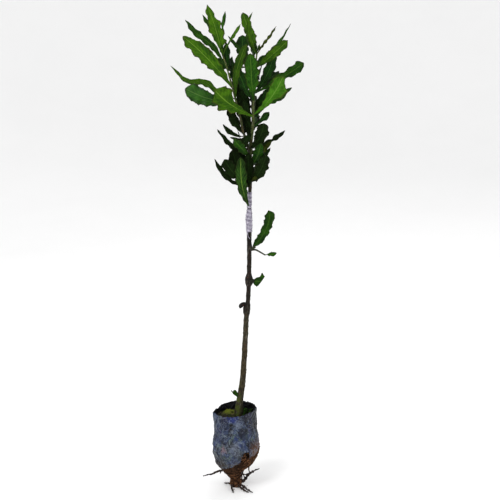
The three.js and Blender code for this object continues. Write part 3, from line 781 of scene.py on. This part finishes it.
def bark_look(name, colours, grain=1.0):
    """Bark whose colour changes up the stem: rows of (height in metres, sRGB colour)."""
    look = Look(name, 0.82, 0.18, colours[0][1])
    height = look.axis(look.place, "Z")
    height = look.math("ADD", height, look.wander(0.05, 40, 3))
    for (low, _), (high, colour) in zip(colours, colours[1:]):
        look.coat(look.span(height, low, high), colour)
    streaks = look.noise(260, 5, 0.65, (1, 1, 0.16))
    look.coat(look.span(streaks, 0.52, 0.7, 0, 0.7), (102, 98, 88))
    look.coat(look.span(look.noise(420, 4, 0.6, (1, 1, 0.3)), 0.53, 0.38, 0, 0.85), (12, 9, 6))
    look.coat(look.span(look.noise(150, 4, 0.6, seed=3), 0.58, 0.68, 0, 0.5), (70, 34, 22))
    # moss creeps up the left of the foot
    mossy = look.times(look.span(height, 0.34, 0.2), look.span(look.noise(75, 4, seed=5), 0.45, 0.6))
    mossy = look.times(mossy, look.span(look.axis(look.place, "X"), 0.016, 0.004, 0, 0.85))
    look.coat(mossy, (64, 74, 22))
    look.roughness(look.span(streaks, 0.3, 0.7, 0.7, 0.92))
    look.bump(streaks, 0.0009 * grain, 0.9)
    look.bump(look.noise(900, 3), 0.0003 * grain, 0.7)
    return look


def stem():
    heap = Heap()
    relief = summed(
        bark_relief(1.0), node_rings(STEM, STEM_SCARS, 0.7), flutes,
        swelling(409, 180, 2.0, 7), swelling(470, 10, 2.5, 9), swelling(474, 200, 1.6, 8),
        swelling(546, 0, 1.6, 5),
    )
    def fading(points, outward, share):
        return relief(points, outward, share) * np.clip(1.15 - 0.9 * share, 0.3, 1)
    heap.grid(rings(STEM, STEM.share_at(SOIL_Z - 2), 1.0, step=0.9, sides=40, relief=fading))
    colours = [
        (0.16, (34, 34, 14)), (0.22, (50, 44, 26)), (0.3, (54, 46, 28)), (0.37, (58, 54, 38)),
        (0.42, (26, 22, 16)), (0.5, (30, 26, 20)), (0.58, (14, 11, 9)), (0.66, (34, 28, 18)),
        (0.74, (54, 62, 28)), (0.9, (74, 88, 38)),
    ]
    look = bark_look("bark_of_the_stem", colours)
    piece = heap.build("stem_bark", [look])
    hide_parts("stem")


def boughs():
    colours = [(0.72, (40, 36, 24)), (0.82, (62, 68, 36)), (0.95, (84, 98, 46))]
    look = bark_look("bark_of_the_boughs", colours, 0.6)
    for name, limb, scars in (
        ("left_bough", LEFT_BOUGH, [783, 812, 850, 884, 935]), ("back_bough", BACK_BOUGH, [838, 885]),
    ):
        heap = Heap()
        relief = summed(bark_relief(0.5), node_rings(limb, scars, 0.5))
        heap.grid(rings(limb, 0, 1, step=0.9, sides=22, relief=relief))
        piece = heap.build(name + "_bark", [look])
        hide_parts(name)


# ---- Growths on the stem ----
TWIGS = {
    "hooked_stub": ([(26, 0, 417), (17.5, -2, 417.5), (13, -3, 414), (14.5, -3, 411)], 4.2, 5.2),
    "cut_leaf_stalk": ([(31, 0, 467), (37, -4, 470), (43, -6, 470)], 6.4, 3.6),
    "side_twig": ([(31, 0, 543), (38, -2, 542), (44, -3, 545.5)], 4.2, 2.8),
    "drooping_twig": ([(31, 0, 536), (44, 4, 537), (56, 5, 531), (66, 5, 525)], 2.2, 1.5),
    "basal_sprout": ([(9, 2, 205), (1, 0, 212), (-5, -1, 217), (-9, -2, 223)], 1.7, 0.9),
}


def twigs():
    colours = [(0.38, (8, 7, 6)), (0.43, (12, 10, 8)), (0.47, (24, 26, 12)), (0.56, (44, 48, 28))]
    old = bark_look("bark_of_old_twigs", colours, 0.6)
    green = bark_look("bark_of_green_shoots", [(0.2, (48, 54, 26)), (0.55, (44, 48, 26))], 0.3)
    for piece_name, names, look, slot in (
        ("old_twigs", ["hooked_stub", "cut_leaf_stalk", "side_twig"], old, "bark"),
        ("green_shoots", ["drooping_twig", "basal_sprout"], green, "green_shoot"),
    ):
        heap = Heap()
        for name in names:
            points, thick, thin = TWIGS[name]
            limb = Limb(points, [(0, thick), (1, thin)])
            heap.grid(rings(limb, 0, 1, step=0.7, sides=16, relief=bark_relief(0.3)))
        piece = heap.build(piece_name, [look])
        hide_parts(*names)


# ---- Grafting tape ----
TAPE_PITCH = 8.4
PUCKERS = Noise(31, 6)
TAPES = {"graft_tape_lower": (577, 627, 1.3), "graft_tape_upper": (628.5, 663, 0.7)}
TAPE_BULGE = 607  # height where the lower wrap stands out furthest, on the left
TAPE_TAIL = [(27, -4, 581), (28.5, -6.5, 569), (33, -6, 562)]


def tape_look():
    look = Look("grafting_tape", 0.38, 0.4, (96, 90, 108))
    cloud = look.noise(160, 5, 0.6)
    look.coat(look.span(cloud, 0.38, 0.6), (158, 152, 170))
    # each turn of the wrap gets a painted highlight along its pale edge and painted shade in the groove under it
    climb = look.math("ADD", look.axis(look.place, "Z"), look.times(look.axis(look.place, "X"), 0.3))
    wave = look.math("SINE", look.times(climb, 2 * math.pi / (TAPE_PITCH * MM)))
    look.coat(look.span(wave, 0.4, 0.95, 0, 0.4), (206, 204, 212))
    look.coat(look.times(look.span(wave, -0.6, -0.95), look.span(cloud, 0.42, 0.6, 0, 0.5)), (84, 74, 74))
    look.coat(look.span(look.noise(420, 4, 0.6, (1, 1, 2.5)), 0.58, 0.72, 0, 0.7), (212, 210, 218))
    look.bump(look.noise(500, 4, 0.6, (1, 1, 2)), 0.0008, 0.9)
    return look


def tape():
    look = tape_look()
    for name, (low, high, thick) in TAPES.items():
        def relief(points, outward, share, thick=thick):
            angle = np.arctan2(outward[..., 1], outward[..., 0]) / (2 * math.pi)
            turn = (points[..., 2] / TAPE_PITCH + angle) % 1
            edge = 1.1 * turn - 1.3 * bell(turn, 0, 0.07)
            middle = np.sin(math.pi * np.clip(share, 0, 1)) ** 0.4
            slack = swelling(TAPE_BULGE, 180, 1.6, 9)(points, outward, share)
            return thick * middle + 0.55 * edge + 0.45 * PUCKERS(points * (1, 1, 1.8)) + slack
        heap = Heap()
        start, end = STEM.share_at(low), STEM.share_at(high)
        heap.grid(rings(STEM, start, end, step=0.45, sides=56, relief=relief, grow=0.2))
        if name == "graft_tape_lower":
            tail = Limb(TAPE_TAIL, [(0, 1.1), (0.6, 0.7), (1, 0.4)])
            heap.grid(rings(tail, 0, 1, step=0.6, sides=12))
        piece = heap.build(name + "_film", [look])
        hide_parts(name)


# ---- Root ball and sleeve ----
BALL_PROFILE = np.array([
    (0, FOOT_R), (3, FOOT_R + 1), (18, FOOT_R + 1.5), (27, 0.37 * BALL_R), (37, 0.56 * BALL_R),
    (60, 0.86 * BALL_R), (75, 0.96 * BALL_R), (BALL_R_Z, BALL_R), (110, 0.97 * BALL_R),
    (140, 0.91 * BALL_R), (SOIL_Z, 0.885 * BALL_R), (SLEEVE_TOP + 10, 0.88 * BALL_R),
])
# How far the ball's middle lies to the right, and how much wider it is, by height.
BALL_LEAN = np.array([
    (20, 1), (45, -1), (62, -0.5), (82, 3), (95, 3), (114, 1), (130, 0), (150, -1), (SLEEVE_TOP, -1.5),
])
BALL_GAIN = np.array([
    (8, 0), (18, -1.2), (34, -2), (50, -2.6), (70, -1.6), (92, 0), (112, -0.8), (125, -1.8), (160, -1.4),
    (SLEEVE_TOP, -0.6),
])


def smoothstep(x, low, high):
    t = np.clip((x - low) / (high - low), 0, 1)
    return t * t * (3 - 2 * t)


def ball_radius(turn, height):
    """Radius of the soil, as in the CAD: loose folds, and a hollow low on the right."""
    folds = 1.1 * np.cos(3 * turn + height / 26) + 0.7 * np.cos(5 * turn - height / 19)
    hollow = 14 * bell(height, 36, 12) * np.maximum(0, np.cos(turn))
    lean = np.interp(height, *BALL_LEAN.T) * np.cos(turn) + np.interp(height, *BALL_GAIN.T)
    uneven = lean + smoothstep(height, 18, 40) * folds - smoothstep(height, 14, 24) * hollow
    return np.interp(height, *BALL_PROFILE.T) + uneven


def rim_height(turn):
    back_right = 3 * np.maximum(0, np.cos(turn - 0.9)) ** 4
    even = SLEEVE_TOP + 5 * np.cos(turn) + 1.5 * np.sin(turn) + 1.3 * np.cos(3 * turn + 1)
    return even + back_right + 2 * np.maximum(0, np.sin(turn))


# The film's torn lower edge: (degrees round from +X, height). It is ripped up on the front right.
TORN_FOOT = np.array([
    (-180, 48), (-139, 49), (-98, 60), (-77, 71), (-71, 97), (-57, 99), (-53, 77), (-45, 79),
    (-22, 96), (-8, 106), (14, 100), (40, 74), (90, 54), (135, 46), (180, 48),
])


def foot_height(turn):
    degrees = (np.degrees(turn) + 180) % 360 - 180
    return np.interp(degrees, *TORN_FOOT.T)


def round_points(turn, radius, height):
    return np.stack([radius * np.cos(turn), radius * np.sin(turn), height + 0 * turn], -1)


BIG_CRUMPLE = Noise(41, 34)
CRUMPLE = Noise(42, 17)
SMALL_CRUMPLE = Noise(43, 8)
FOOT_RAGS = Noise(44, 9)
SLEEVE_SIDES = 300
SLEEVE_ROWS = 160


def sleeve_look():
    """Dark blue film with pale bluish-grey patches that are partly scuffs and dust, partly painted reflection;
    creased, with painted highlights on the crease ridges and painted shade in the crease valleys; stained with
    soil near the torn foot.
    """
    look = Look("sleeve_film", 0.36, 0.25, (9, 14, 30))
    height, right = look.axis(look.place, "Z"), look.axis(look.place, "X")
    # the pale bluish-grey patchwork is partly scuffs and dust, partly painted reflection of a bright sky on the
    # film
    patches = look.noise(26, 6, 0.66, warp=0.7)
    look.coat(look.span(patches, 0.43, 0.57), (46, 60, 88))
    for seed, scale, low, colour in (
        (1, 52, 0.54, (84, 96, 104)), (2, 40, 0.57, (54, 46, 82)), (3, 34, 0.56, (24, 38, 84)),
        (4, 60, 0.57, (72, 88, 82)), (5, 36, 0.54, (7, 9, 14)),
    ):
        patch = look.noise(scale, 6, 0.68, warp=0.5, seed=seed)
        look.coat(look.span(patch, low, low + 0.07, 0, 0.8), colour)
    for *spray, colour in (
        ((-6, -46, 172), 17, 0.8, (24, 38, 104)), ((8, -46, 157), 12, 0.6, (104, 114, 132)),
        ((-28, -44, 99), 13, 0.65, (122, 98, 104)), ((-40, -24, 128), 22, 0.6, (30, 38, 72)),
        ((36, -28, 90), 13, 0.85, (84, 58, 38)), ((0, -50, 100), 24, 0.5, (92, 98, 112)),
        # the near-black (3, 5, 10) sprays here and on the next line are painted shade in a deep vertical crease
        ((-28, -38, 74), 22, 0.5, (58, 62, 54)), ((-8, -46, 157), 8, 0.97, (3, 5, 10)),
        ((-9, -47, 146), 8, 0.97, (3, 5, 10)), ((-9, -47, 136), 7, 0.97, (3, 5, 10)),
        ((16, -44, 136), 18, 0.8, (9, 15, 36)), ((-24, -40, 156), 18, 0.7, (12, 22, 52)),
        ((20, -40, 170), 17, 0.7, (8, 11, 24)),
    ):
        look.coat(look.spray(*spray), colour)
    shaded_side = look.times(look.span(right, 0.029, 0.04), look.span(height, 0.126, 0.14, 0, 0.85))
    look.coat(shaded_side, (12, 13, 17))
    stained = look.times(look.span(height, 0.122, 0.1), look.span(right, 0.026, 0.044))
    look.coat(look.times(stained, look.span(patches, 0.35, 0.5, 0.3, 0.85)), (84, 56, 36))
    crumbs = look.span(look.noise(52, 5, 0.65, seed=6), 0.38, 0.56)
    look.coat(look.times(look.times(look.span(height, 0.092, 0.056), crumbs), 0.85), (52, 42, 30))
    # painted highlights along thin crease ridges
    look.coat(look.times(look.ridge(0.03, 62, 4, warp=0.8, seed=7), 0.45), (126, 136, 152))
    # painted shade in thin crease valleys
    look.coat(look.times(look.ridge(0.03, 48, 5, warp=1.0, seed=8), 0.75), (7, 9, 14))
    look.roughness(look.span(patches, 0.35, 0.7, 0.3, 0.6))
    look.bump(look.ridge(0.12, 48, 5, warp=1.0, seed=8), 0.0022, -0.8)
    look.bump(look.noise(150, 5, 0.6, warp=0.8), 0.0016, 0.8)
    look.bump(look.noise(600, 3), 0.0003, 0.5)
    return look


def inner_film_look():
    look = Look("sleeve_film_inside", 0.6, 0.12, (4, 4, 5))
    look.coat(look.noise(90, 4), (18, 19, 22))
    look.bump(look.noise(200, 4), 0.0008, 0.6)
    return look


def sleeve():
    turn = round_turn(SLEEVE_SIDES)
    share = np.linspace(0, 1, SLEEVE_ROWS)[:, None]
    foot = foot_height(turn) + 2.4 * FOOT_RAGS(round_points(turn, 40 + 0 * turn, 0))
    rim = rim_height(turn) + 1.0 * SMALL_CRUMPLE(round_points(turn, 46 + 0 * turn, 0))
    height = foot + (rim - foot) * share
    turns = turn + 0 * height
    radius = ball_radius(turns, height) + FILM_OFF
    flat = round_points(turns, radius, height)
    above = smoothstep(height, foot, foot + 14)
    curl = 1.6 * bell(height, foot, 4) * np.maximum(0, FOOT_RAGS(flat) + 0.4)
    big = (creases(BIG_CRUMPLE, flat * (1, 1, 0.8)) - 0.6) * 2.6
    folds = -2.3 * creases(CRUMPLE, flat * (1, 1, 0.6)) ** 4
    small = -0.8 * creases(SMALL_CRUMPLE, flat) ** 4
    gathers = 1.6 * np.sin(24 * turns + 2.5 * BIG_CRUMPLE(flat)) * smoothstep(-height, -78, -48)
    corners = 2.6 * bell(np.sin(turns), 0, 0.09) * smoothstep(height, 130, 176)
    radius = radius + curl + (0.3 + 0.7 * above) * (big + folds + small + 0.8) + gathers * 0.7 + corners
    outer = round_points(turns, radius, height)
    inner = round_points(turns, radius - FILM, height)
    loop = np.concatenate([outer, inner[::-1], outer[:1]])
    heap = Heap()
    slots = np.zeros((len(loop) - 1, SLEEVE_SIDES))
    slots[SLEEVE_ROWS:] = 1
    heap.grid(loop, slots.ravel())
    piece = heap.build("sleeve_film", [sleeve_look(), inner_film_look()])
    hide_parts("sleeve")


CLODS = Noise(51, 7)
GRIT = Noise(52, 2.6)
SOIL_SIDES = 220
SOIL_ROWS = 190
SOIL_RINGS = 40  # across the top
UNDER_FILM = 5  # how far the soil keeps back where the film covers it
HOLE = (20, -44, 82)  # dent in the soil behind the rip, and the middle of the painted shade there
MOSS = (-13, 16, SOIL_Z + 2)
SEEDLINGS = (20, 4, SOIL_Z + 1)
SEEDLING_LEAVES = 16


def soil_look():
    look = Look("soil", 0.95, 0.1, (20, 13, 8))
    look.coat(look.span(look.noise(120, 5, 0.65), 0.35, 0.65), (70, 47, 31))
    look.coat(look.span(look.noise(520, 4), 0.55, 0.72, 0, 0.8), (110, 78, 52))
    # painted shade in the recessed dent behind the rip
    look.coat(look.spray(HOLE, 20, 0.97), (8, 5, 3))
    # the top of the ball is darker and greyer, with moss beside the stem
    bed = look.mix(look.span(look.noise(140, 5, 0.65, seed=2), 0.38, 0.62), (14, 13, 9), (58, 54, 38))
    bed = look.mix(look.span(look.noise(60, 4, seed=4), 0.5, 0.62, 0, 0.6), bed, (40, 52, 18))
    bed = look.mix(look.spray(MOSS, 19, 0.95), bed, (88, 96, 26))
    bed = look.mix(look.spray((-5, 3, SOIL_Z + 2), 4, 0.9), bed, (158, 130, 112))
    look.coat(look.span(look.axis(look.place, "Z"), 0.14, 0.155), bed)
    crumbs = look.node("ShaderNodeTexVoronoi", {"Vector": look.place, "Scale": 420}).outputs["Distance"]
    look.bump(crumbs, 0.0014, 0.9)
    look.bump(look.noise(900, 4), 0.0008, 0.9)
    return look


def soil_ball():
    turn = round_turn(SOIL_SIDES)
    rows = []
    for height in np.linspace(0, SOIL_Z, SOIL_ROWS):
        points = round_points(turn, ball_radius(turn, height), height)
        covered = smoothstep(height, foot_height(turn), foot_height(turn) + 8)
        rough = 1.4 * CLODS(points) + 0.8 * GRIT(points) - 0.8
        rough = rough * np.clip(height / 4, 0, 1) * (1 - 0.8 * covered)
        dent = 5 * bell(np.linalg.norm(points - HOLE, axis=-1), 0, 13)
        radius = ball_radius(turn, height) + rough - UNDER_FILM * covered - dent
        rows.append(round_points(turn, radius, height))
    top = ball_radius(turn, SOIL_Z) - UNDER_FILM
    for share in np.linspace(0.99, 0.0, SOIL_RINGS):
        points = round_points(turn, top * share, SOIL_Z)
        lift = 1.8 * CLODS(points) + 0.9 * GRIT(points) - 1.5 - 5 * share**5
        mound = 9 * bell(np.linalg.norm(points - MOSS, axis=-1), 0, 14)
        points[:, 2] += (lift + mound) * (1 if share else 0)
        rows.append(points)
    floor = np.repeat([[[0.0, 0.0, 0.0]]], SOIL_SIDES, 1)
    heap = Heap()
    heap.grid(np.vstack([floor, np.array(rows)]))
    piece = heap.build("soil_ball", [soil_look()])
    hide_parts("root_ball")


def seedlings():
    """A few small green shoots that have come up beside the stem."""
    heap = Heap()
    rng = random.Random(23)
    for index in range(SEEDLING_LEAVES):
        base = np.array(SEEDLINGS) + (rng.uniform(-7, 13), rng.uniform(-9, 12), -1.5)
        rise, length = rng.uniform(25, 80), rng.uniform(9, 17)
        small = upward(rng.uniform(0, 360), rise, length, rng.uniform(4, 6.5), "mid", habit="blunt")
        add_leaf(heap, base, small, rng, index % TONES)
    piece = heap.build("seedling_leaves", leaf_looks("mid"))


# ---- Roots ----
ROOTS = {
    "root_left": [(-24, -4, 39), (-35, -7, 37), (-56, -11, 31.5), (-72, -13, 28.5)],
    "root_lower_left": [(-4, 2, 4), (-15, 5, 4), (-26, 11, 2)],
    "root_front": [(-5, -5, 5), (-8, -14, 5), (-7, -28, 2.5), (-4, -44, 2)],
    "root_front_right": [(5, -4, 6), (15, -12, 6), (26, -26, 2.5), (38, -43, 2)],
    "root_front_centre": [(2, -6, 4), (10, -16, 3), (19, -30, 2), (29, -43, 2)],
    "root_right": [(4, 2, 6), (19, 4, 12), (29, 5, 24), (39, 7, 31.5), (54, 9, 37)],
}
ROOTLETS = {
    "rootlet_right": [(28, 2, 54), (30.5, 3, 42), (31.5, 4, 26)],
    "rootlet_inner": [(12, 0, 44), (13.5, 1, 32), (14.5, 2.5, 14)],
}
# Thinner roots that leave gaps between the ball, the plug and the right root.
LOOPS = [
    [(16, 1, 44), (18, 2, 30), (20, 4, 16)], [(9, 0, 26), (17, 3, 27), (26, 4, 24)],
    [(-34, -7, 40), (-33, -8, 35), (-34, -8, 32)],
]
BENDS = Noise(61, 9)
ROOT_STEPS = 70
MAT_STRANDS = 330
BARE = (-70, 40)  # degrees between which the soil shows beside the torn film


def root_look():
    look = Look("root", 0.85, 0.15, (18, 14, 13))
    streaks = look.noise(300, 4, 0.6)
    look.coat(look.span(streaks, 0.38, 0.62), (62, 50, 44))
    look.bump(streaks, 0.0008, 0.9)
    return look


def strand_look():
    look = Look("root_mat", 0.88, 0.12, (40, 23, 14))
    look.coat(look.span(look.noise(150, 4), 0.38, 0.62), (116, 80, 54))
    look.bump(look.noise(900, 3), 0.0004, 0.6)
    return look


def wiggled(limb, seed):
    share = np.linspace(0, 1, ROOT_STEPS)
    line = limb.at(share)
    shift = np.stack([Noise(seed + k, 11)(line) for k in range(3)], -1)
    return line + shift * np.sin(math.pi * share)[:, None] ** 0.5


def stray_roots():
    heap = Heap()
    rng = random.Random(17)
    stout = {"root_left": 3.2, "root_right": 4.4}
    paths = [(p, stout.get(name, 2.2), 1.0) for name, p in ROOTS.items()]
    paths += [(p, 2.0, 1.1) for p in [*ROOTLETS.values(), *LOOPS]]
    for index, (points, thick, thin) in enumerate(paths):
        limb = Limb(points, [(0, thick), (0.5, thick * 0.75), (1, thin)])
        line = wiggled(limb, 70 + 3 * index)
        knobs = np.maximum(0, BENDS(line * 1.6)) ** 2
        radii = limb.radius(np.linspace(0, 1, ROOT_STEPS)) * (0.9 + 0.2 * BENDS(line * 2) + 0.5 * knobs)
        line[:, 2] = np.maximum(line[:, 2], radii)  # lying on the floor, not through it
        heap.grid(tube(line, radii, sides=12))
        for _ in range(4 if thick > 2 else 0):
            start = rng.randrange(8, ROOT_STEPS - 6)
            aim = heading(rng.uniform(0, 360), rng.uniform(-10, 40))
            reach = rng.uniform(4, 11)
            turned = aim + heading(rng.uniform(0, 360), 10) * 0.5
            bends = [line[start], line[start] + aim * reach * 0.5, line[start] + turned * reach * 0.8]
            hair = Limb(bends, [(0, 0.5), (1, 0.22)])
            share = np.linspace(0, 1, 8)
            points = hair.at(share)
            points[:, 2] = np.maximum(points[:, 2], 0.5)
            heap.grid(tube(points, hair.radius(share), sides=5))
    piece = heap.build("stray_roots", [root_look()])
    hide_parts(*ROOTS, *ROOTLETS)


def root_mat():
    """Fine roots matted round the plug and over the bare soil beside the torn film."""
    heap = Heap()
    rng = random.Random(19)
    for strand in range(MAT_STRANDS):
        turn, height = rng.uniform(0, 2 * math.pi), rng.uniform(1, 40)
        wander, off = 0.05, 0.9
        if strand % 3 == 0:
            turn, height = math.radians(rng.uniform(*BARE)), rng.uniform(34, 100)
        elif strand % 3 == 1:
            height, wander, off = rng.uniform(1, 34), 0.16, 2.4
        drift, climb = rng.uniform(-0.06, 0.06), rng.uniform(-2.2, 1.0)
        line = []
        for step in range(rng.randrange(10, 22)):
            turn += drift + rng.uniform(-wander, wander)
            height += climb + rng.uniform(-0.7, 0.7)
            low = min(max(height, 0.8), float(foot_height(turn)) + 3)
            line.append(round_points(np.float64(turn), ball_radius(turn, low) + rng.uniform(-0.6, off), low))
        line = smooth_path(line, 3)
        radii = np.linspace(rng.uniform(0.4, 0.85), 0.2, len(line))
        heap.grid(tube(line, radii, sides=5))
    piece = heap.build("root_mat", [strand_look()])


# ---- Floor, light and camera ----
def studio():
    scene = bpy.context.scene
    scene.view_settings.view_transform = "Standard"
    scene.view_settings.look = "None"
    mesh = bpy.data.meshes.new("floor")
    # a round pale floor that curves up into a low backdrop all round
    flat, curve, steep, steps, sides = 3.0, 4.0, math.radians(75), 20, 96
    verts, faces = [], [tuple(range(sides))]
    for step in range(steps + 1):
        angle = steep * step / steps
        reach, lift = flat + curve * math.sin(angle), curve - curve * math.cos(angle)
        for k in range(sides):
            turn = 2 * math.pi * k / sides
            verts.append((reach * math.cos(turn), reach * math.sin(turn), lift))
    for step in range(steps):
        for k in range(sides):
            low, following = step * sides, (k + 1) % sides
            faces.append((low + k, low + sides + k, low + sides + following, low + following))
    mesh.from_pydata(verts, [], faces)
    floor = bpy.data.objects.new("floor", mesh)
    scene.collection.objects.link(floor)
    for polygon in mesh.polygons:
        polygon.use_smooth = True
    look = Look("pale_floor", 0.9, 0.1, (0.91, 0.91, 0.91, 1))
    look.coat(look.noise(3, 2), (0.94, 0.94, 0.94, 1))
    mesh.materials.append(look.material)

    world = bpy.data.worlds.new("studio")
    scene.world = world
    world.use_nodes = True
    background = world.node_tree.nodes["Background"]
    background.inputs["Color"].default_value = (1, 1, 1, 1)
    background.inputs["Strength"].default_value = WORLD_LIGHT

    def area(name, place, target, size, power):
        light = bpy.data.lights.new(name, "AREA")
        light.size = size
        light.energy = power
        lamp = bpy.data.objects.new(name, light)
        scene.collection.objects.link(lamp)
        lamp.location = place
        aim = np.array(target) - np.array(place)
        lamp.rotation_euler = Vector(aim).to_track_quat("-Z", "Y").to_euler()

    area("key", (-1.6, -2.4, 3.2), (0, 0, 0.6), 1.5, 66)
    area("fill", (2.6, -2.6, 1.4), (0, 0, 0.5), 2.2, 14)
    area("rim", (0.8, 2.6, 2.8), (0, 0, 0.7), 1.8, 26)


def camera():
    data = bpy.data.cameras.new("camera")
    data.lens = LENS_MM
    data.sensor_width = SENSOR_MM
    data.clip_end = 100
    made = bpy.data.objects.new("camera", data)
    bpy.context.scene.collection.objects.link(made)
    made.location = CAMERA_AT
    made.rotation_euler = (math.radians(90 - CAMERA_DOWN), 0, 0)
    bpy.context.scene.camera = made


camera()
studio()
soil_ball()
root_mat()
stray_roots()
sleeve()
seedlings()
stem()
boughs()
twigs()
tape()
foliage()
